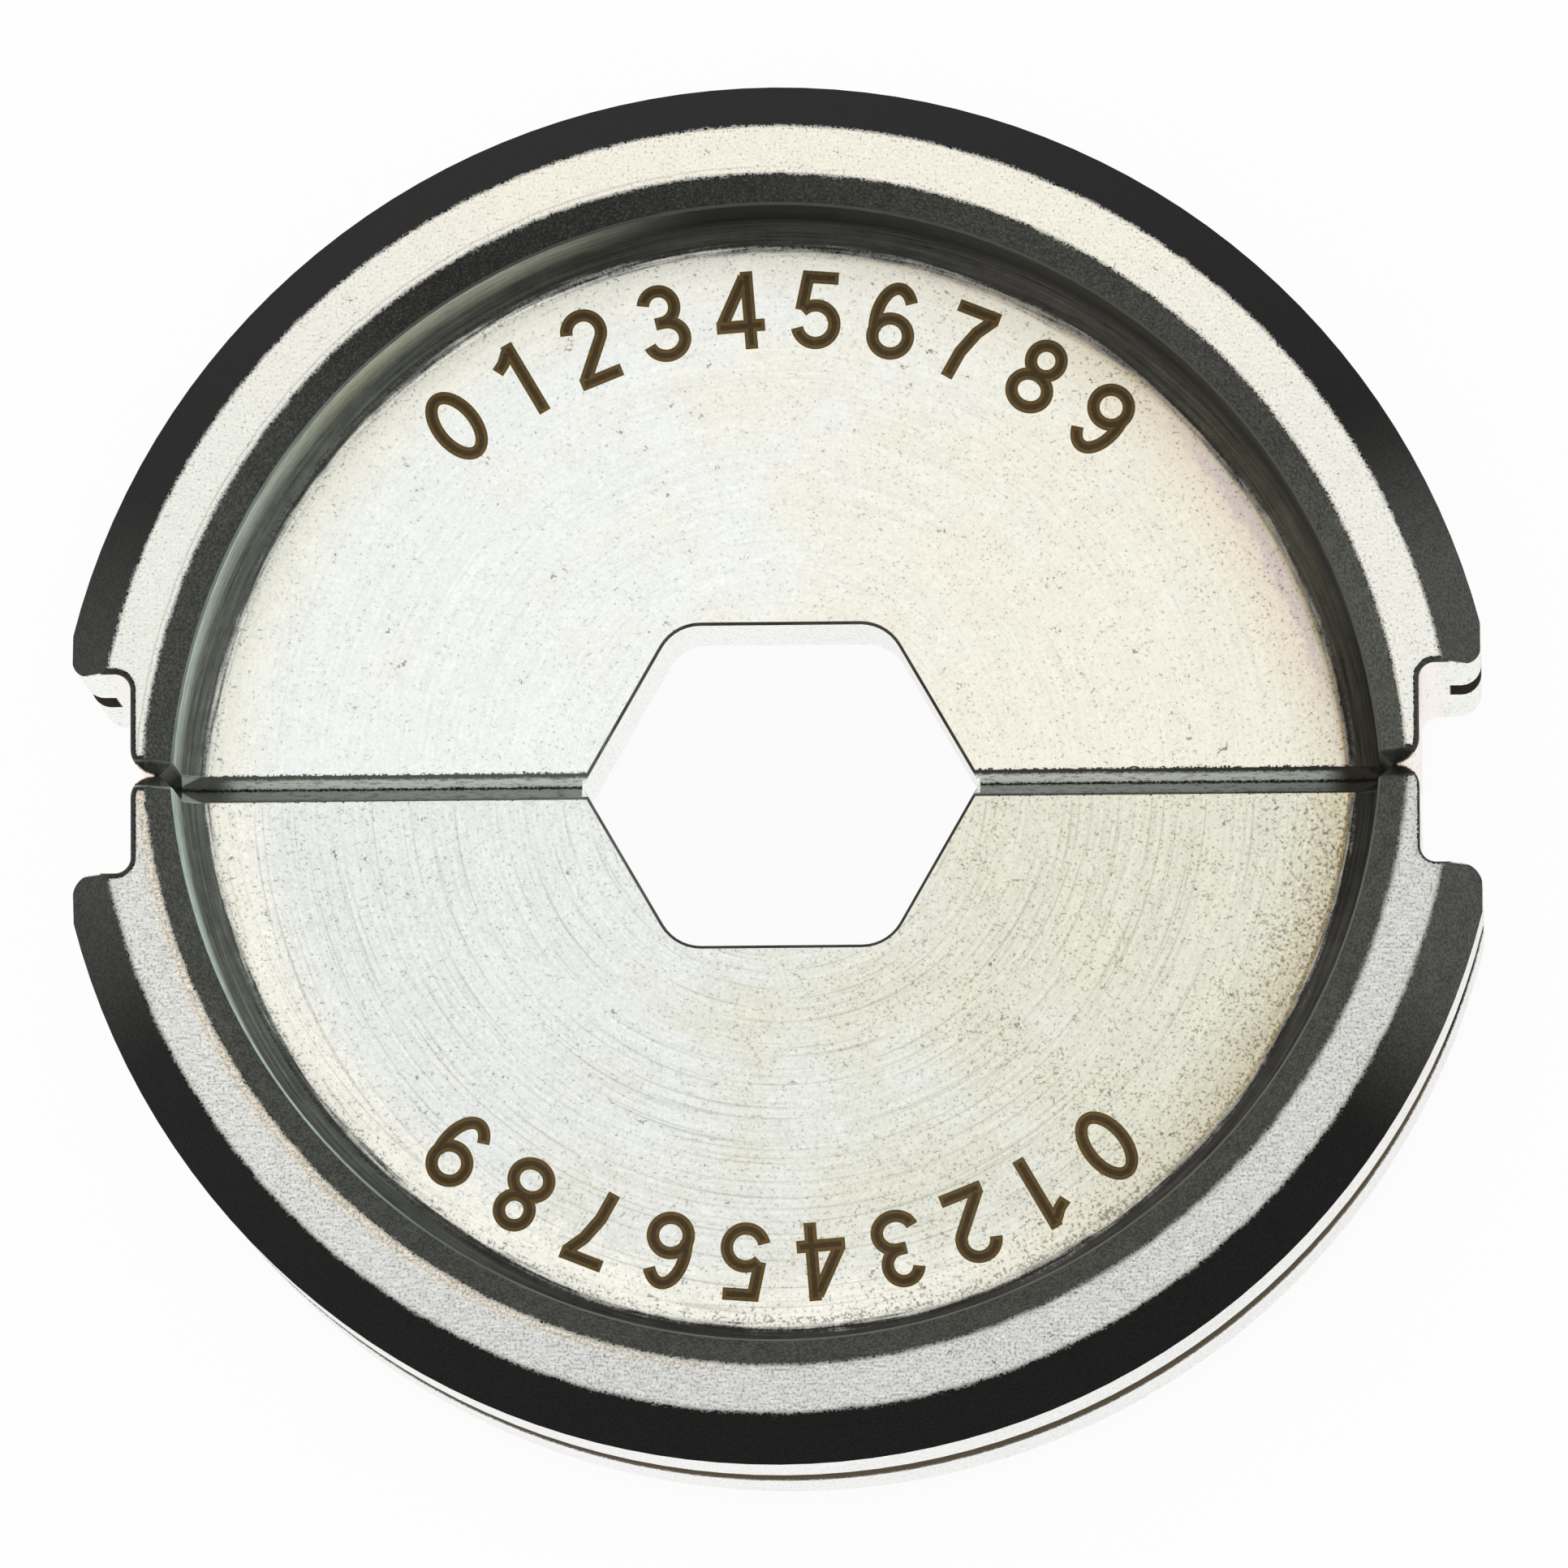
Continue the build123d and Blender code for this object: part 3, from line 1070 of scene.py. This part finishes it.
def burnt_mark(name, colour):
    """Brown scale that the marking beam leaves on the steel."""
    material, fill = new_material(name)
    place = fill.stretched(fill.node("ShaderNodeTexCoord").outputs["Object"], (1 / MM, 1 / MM, 1 / MM))
    grain = fill.noise(place, BURNT_GRAIN, detail=1.0, rough=0.6)
    shader = fill.node("ShaderNodeBsdfPrincipled")
    shader.inputs["Metallic"].default_value = 1.0
    shader.inputs["Roughness"].default_value = 0.55
    fill.feed(shader.inputs["Base Color"], fill.shade(colour, fill.blend(grain, 0.7, 1.3)))
    fill.relief(shader, grain, strength=0.3, depth=0.005 * MM)
    fill.show(shader)
    return material


class DIE_OT_finish_halves(bpy.types.Operator):
    """Give both die halves their ground and blackened steel"""

    bl_idname = "die.finish_halves"
    bl_label = "Finish Die Halves"

    def execute(self, context):
        settings = context.scene.die_finish
        effects = build_effects()
        finishes = {
            UPPER_HALF: die_steel("upper_die_steel", effects, settings, HalfFinish(0)),
            LOWER_HALF: die_steel("lower_die_steel", effects, settings, HalfFinish(1)),
        }
        for node, material in finishes.items():
            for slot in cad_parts[node].material_slots:
                slot.material = material
        return {"FINISHED"}


# Degrees between the points of a bow, and how far a stroke's corner may stretch
BOW_STEP = 9.0
LARGEST_MITRE = 1.6
RISE_OF_INNER_LAYER = 0.4


def bow(x, y, reach, rise, start, end):
    """Points along part of an oval about x, y, from one angle to another in degrees."""
    steps = round(abs(end - start) / BOW_STEP)
    angles = [math.radians(start + (end - start) * step / steps) for step in range(steps + 1)]
    return [(x + reach * math.cos(angle), y + rise * math.sin(angle)) for angle in angles]


# The middle lines of each number's strokes, for a number of height 1 that stands on y = 0
BAR = 0.078
CAP = 1 - BAR
NUMBER_STROKES = {
    "0": [bow(0, 0.5, 0.235, 0.42, 0, 360)],
    "1": [[(0.08, 0), (0.08, 1)], [(-0.19, 0.74), (-0.07, 0.80), (0.07, 0.93)]],
    "2": [bow(0, 0.70, 0.222, 0.222, 170, -35) + [(-0.22, 0.095)], [(-0.28, BAR), (0.28, BAR)]],
    "3": [
        bow(-0.01, 0.715, 0.20, 0.207, 165, -90) + [(-0.10, 0.508)],
        [(-0.10, 0.508)] + bow(0, 0.293, 0.235, 0.215, 90, -168),
    ],
    "4": [[(0.12, 0), (0.12, 1)], [(0.09, 0.93), (-0.235, 0.33)], [(-0.31, 0.30), (0.31, 0.30)]],
    "5": [[(0.25, CAP), (-0.14, CAP), (-0.20, 0.49)], bow(-0.005, 0.32, 0.24, 0.242, 140, -166)],
    "6": [bow(0, 0.303, 0.228, 0.225, 0, 360), bow(0, 0.5, 0.232, CAP - 0.5, 205, 38)],
    "7": [[(-0.28, CAP), (0.28, CAP)], [(0.22, 0.90), (0.06, 0.66), (-0.05, 0.36), (-0.10, 0)]],
    "8": [bow(0, 0.725, 0.195, 0.197, 0, 360), bow(0, 0.290, 0.232, 0.212, 0, 360)],
}
NUMBER_STROKES["9"] = [[(-x, 1 - y) for x, y in stroke] for stroke in NUMBER_STROKES["6"]]


def stroke_sides(middle, closed, half_width):
    """Where the two sides of a stroke pass each point of its middle line."""
    points = [Vector(point) for point in middle]
    legs = [(b - a).normalized() for a, b in zip(points, points[1:])]
    before = [legs[-1] if closed else legs[0]] + legs
    after = legs + [legs[0] if closed else legs[-1]]
    sides = []
    for point, into, out_of in zip(points, before, after):
        mean = (into + out_of).normalized()
        reach = half_width * min(LARGEST_MITRE, 1 / mean.dot(out_of))
        across = Vector((-mean.y, mean.x)) * reach
        sides.append((point + across, point - across))
    return sides


def cut_back(middle, length):
    """The middle line without a length of its start."""
    points = [Vector(point) for point in middle]
    while len(points) > 2 and (points[1] - points[0]).length <= length:
        length -= (points[1] - points[0]).length
        points.pop(0)
    points[0] += (points[1] - points[0]).normalized() * length
    return points


def stroke_mesh(middle, half_width, inset):
    """One stroke as a closed flat bar of height 1, drawn in by the inset on all sides."""
    closed = math.dist(middle[0], middle[-1]) < 1e-6
    if not closed and inset:
        middle = cut_back(middle, inset)
        middle = cut_back(reversed(middle), inset)[::-1]
    sides = stroke_sides(middle, closed, half_width - inset)
    if closed:
        sides = sides[:-1]
    bm = bmesh.new()
    rows = []
    for left, right in sides:
        corners = ((left, -0.5), (left, 0.5), (right, 0.5), (right, -0.5))
        rows.append([bm.verts.new((spot.x, spot.y, z)) for spot, z in corners])
    pairs = list(zip(rows, rows[1:]))
    if closed:
        pairs.append((rows[-1], rows[0]))
    else:
        bm.faces.new(rows[0])
        bm.faces.new(reversed(rows[-1]))
    for row, following in pairs:
        for corner in range(4):
            beside = (corner + 1) % 4
            bm.faces.new((row[corner], following[corner], following[beside], row[beside]))
    bmesh.ops.recalc_face_normals(bm, faces=bm.faces)
    mesh = bpy.data.meshes.new("stroke")
    bm.to_mesh(mesh)
    bm.free()
    return mesh


def united(meshes):
    """The union of closed meshes, as one mesh."""
    holders = [bpy.data.objects.new("stroke", mesh) for mesh in meshes]
    for holder in holders:
        bpy.context.scene.collection.objects.link(holder)
    for other in holders[1:]:
        union = holders[0].modifiers.new("union", "BOOLEAN")
        union.operation = "UNION"
        union.solver = "EXACT"
        union.object = other
    bpy.context.view_layer.update()
    evaluated = holders[0].evaluated_get(bpy.context.evaluated_depsgraph_get())
    mesh = bpy.data.meshes.new_from_object(evaluated)
    for holder in holders:
        bpy.data.objects.remove(holder)
    return mesh


def number_mesh(text, settings, depth, inset):
    """One number as a closed mesh, its middle at the origin, with its strokes drawn in by the inset."""
    half_width = settings.stroke_width / 2 / settings.height
    inset /= settings.height
    mesh = united([stroke_mesh(middle, half_width, inset) for middle in NUMBER_STROKES[text]])
    mesh.transform(
        Matrix.Diagonal((settings.height, settings.height, depth * 2, 1.0))
        @ Matrix.Translation((0.0, -0.5, 0.0))
    )
    return mesh


def mark_face(name, turn, settings, materials):
    """The plain numbers along one face, as one piece, turned about the crimping axis."""
    pieces = []
    web_face = (THICKNESS / 2 + WEB_HEIGHT) * MM
    for index in range(settings.count):
        share = index / max(1, settings.count - 1) - 0.5
        angle = -share * settings.spread
        spot = Vector((-math.sin(angle), math.cos(angle), 0.0)) * settings.radius
        spot += Vector((0.0, -SEAT_OVERTRAVEL * MM, web_face))
        placing = Matrix.Rotation(turn, 4, "Z") @ Matrix.Translation(spot)
        placing @= Matrix.Rotation(angle, 4, "Z")
        for layer, inset in enumerate((0.0, settings.rim_width)):
            depth = settings.depth * (1 + RISE_OF_INNER_LAYER * layer)
            mesh = number_mesh(str(index), settings, depth, inset)
            mesh.materials.clear()
            mesh.materials.append(materials[layer])
            mesh.transform(placing)
            piece = bpy.data.objects.new(name, mesh)
            bpy.context.scene.collection.objects.link(piece)
            pieces.append(piece)
    marking = pieces[0]
    with bpy.context.temp_override(
        active_object=marking, selected_objects=pieces, selected_editable_objects=pieces
    ):
        bpy.ops.object.join()
    marking.name = name
    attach(marking, BODY)


class DIE_OT_mark_faces(bpy.types.Operator):
    """Mark plain numbers along the edge of both faces"""

    bl_idname = "die.mark_faces"
    bl_label = "Mark Faces"

    def execute(self, context):
        settings = context.scene.die_marking
        materials = [
            burnt_mark("burnt_rim", settings.rim_colour),
            burnt_mark("burnt_stroke", settings.stroke_colour),
        ]
        mark_face("upper_numbers", 0.0, settings, materials)
        mark_face("lower_numbers", math.pi, settings, materials)
        return {"FINISHED"}


# Sizes of the stage in metres, but the camera's target in millimetres
FLOOR_HALF_SIZE = 3.0
FLOOR_LEVEL = -0.01 * MM
PANEL_PLACE = (-0.1, 0.25, 1.8)
PANEL_SIZE = 1.4
CAMERA_TARGET = (0.32, -0.54, THICKNESS)


def floor_material(settings):
    """Pale floor that stays white to the eye and keeps the soft shadow."""
    material, fill = new_material("pale_floor")
    plain = fill.node("ShaderNodeBsdfDiffuse")
    fill.feed(plain.inputs["Color"], settings.floor_colour)
    seen = fill.node("ShaderNodeEmission")
    fill.feed(seen.inputs["Color"], WHITE)
    path = fill.node("ShaderNodeLightPath").outputs
    looked_at = fill.larger(
        path["Is Camera Ray"], fill.larger(path["Is Glossy Ray"], path["Is Transmission Ray"])
    )
    blend = fill.node("ShaderNodeMixShader")
    fill.feed(blend.inputs[0], fill.times(looked_at, settings.floor_glow))
    fill.feed(blend.inputs[1], plain.outputs[0])
    fill.feed(blend.inputs[2], seen.outputs[0])
    fill.show(blend)
    return material


def add_floor(settings):
    """A large plain floor just under the back ring."""
    mesh = bpy.data.meshes.new("floor")
    corners = [
        (x * FLOOR_HALF_SIZE, y * FLOOR_HALF_SIZE, FLOOR_LEVEL)
        for x, y in ((-1, -1), (1, -1), (1, 1), (-1, 1))
    ]
    mesh.from_pydata(corners, [], [(0, 1, 2, 3)])
    mesh.materials.append(floor_material(settings))
    floor = bpy.data.objects.new("floor", mesh)
    bpy.context.scene.collection.objects.link(floor)


def add_room(settings):
    """Even light from all round, white to the eye."""
    world = bpy.data.worlds.new("studio_room")
    bpy.context.scene.world = world
    world.use_nodes = True
    world.node_tree.nodes.clear()
    fill = Shading(world.node_tree)
    room = fill.node("ShaderNodeBackground")
    fill.feed(room.inputs["Color"], WHITE)
    path = fill.node("ShaderNodeLightPath").outputs
    fill.feed(room.inputs["Strength"], fill.blend(path["Is Camera Ray"], settings.room_strength, 1.0))
    fill.show(room, "ShaderNodeOutputWorld")


def add_panel(name, place, size, power):
    """A square lamp panel that faces the die."""
    lamp = bpy.data.lights.new(name, "AREA")
    lamp.shape = "SQUARE"
    lamp.size = size
    lamp.energy = power
    panel = bpy.data.objects.new(name, lamp)
    panel.location = place
    panel.rotation_euler = Vector(place).to_track_quat("Z", "Y").to_euler()
    bpy.context.scene.collection.objects.link(panel)


def add_camera(settings):
    """The camera, a little below and to the right of the crimping axis."""
    data = bpy.data.cameras.new("camera")
    data.lens = settings.lens
    data.sensor_width = 36.0
    data.sensor_fit = "HORIZONTAL"
    data.clip_start = 0.01
    data.clip_end = 20.0
    tilt, bearing = settings.camera_tilt, settings.camera_bearing
    aside = math.sin(tilt)
    out = Vector((aside * math.cos(bearing), aside * math.sin(bearing), math.cos(tilt)))
    right = Vector((0.0, 1.0, 0.0)).cross(out).normalized()
    up = out.cross(right)
    turn = Matrix((right, up, out)).transposed()
    target = Vector(CAMERA_TARGET) * MM
    camera = bpy.data.objects.new("camera", data)
    camera.matrix_world = (
        Matrix.Translation(target + out * settings.camera_distance)
        @ turn.to_4x4()
        @ Matrix.Rotation(-settings.camera_roll, 4, "Z")
    )
    bpy.context.scene.collection.objects.link(camera)
    bpy.context.scene.camera = camera


class DIE_OT_set_stage(bpy.types.Operator):
    """Set the floor, the soft light and the camera"""

    bl_idname = "die.set_stage"
    bl_label = "Set Stage"

    def execute(self, context):
        settings = context.scene.die_stage
        add_floor(settings)
        add_room(settings)
        add_panel("overhead_panel", PANEL_PLACE, PANEL_SIZE, settings.panel_power)
        add_camera(settings)
        context.scene.view_settings.view_transform = "Standard"
        return {"FINISHED"}


class DIE_PT_finish(bpy.types.Panel):
    """Sidebar panel that lists the steps and their settings"""

    bl_idname = "DIE_PT_finish"
    bl_label = "Crimping Die"
    bl_space_type = "VIEW_3D"
    bl_region_type = "UI"
    bl_category = "Crimping Die"

    def draw(self, context):
        layout = self.layout
        steps = (
            (DIE_OT_finish_halves, context.scene.die_finish),
            (DIE_OT_mark_faces, context.scene.die_marking),
            (DIE_OT_set_stage, context.scene.die_stage),
        )
        for step, settings in steps:
            box = layout.box()
            box.operator(step.bl_idname)
            for name in settings.__annotations__:
                box.prop(settings, name)


CLASSES = (
    DieFinishSettings,
    DieMarkingSettings,
    DieStageSettings,
    DIE_OT_finish_halves,
    DIE_OT_mark_faces,
    DIE_OT_set_stage,
    DIE_PT_finish,
)


def register():
    for cls in CLASSES:
        bpy.utils.register_class(cls)
    bpy.types.Scene.die_finish = PointerProperty(type=DieFinishSettings)
    bpy.types.Scene.die_marking = PointerProperty(type=DieMarkingSettings)
    bpy.types.Scene.die_stage = PointerProperty(type=DieStageSettings)


def unregister():
    del bpy.types.Scene.die_stage
    del bpy.types.Scene.die_marking
    del bpy.types.Scene.die_finish
    for cls in reversed(CLASSES):
        bpy.utils.unregister_class(cls)


def main():
    register()
    bpy.ops.die.finish_halves()
    bpy.ops.die.mark_faces()
    bpy.ops.die.set_stage()


if __name__ == "__main__":
    main()
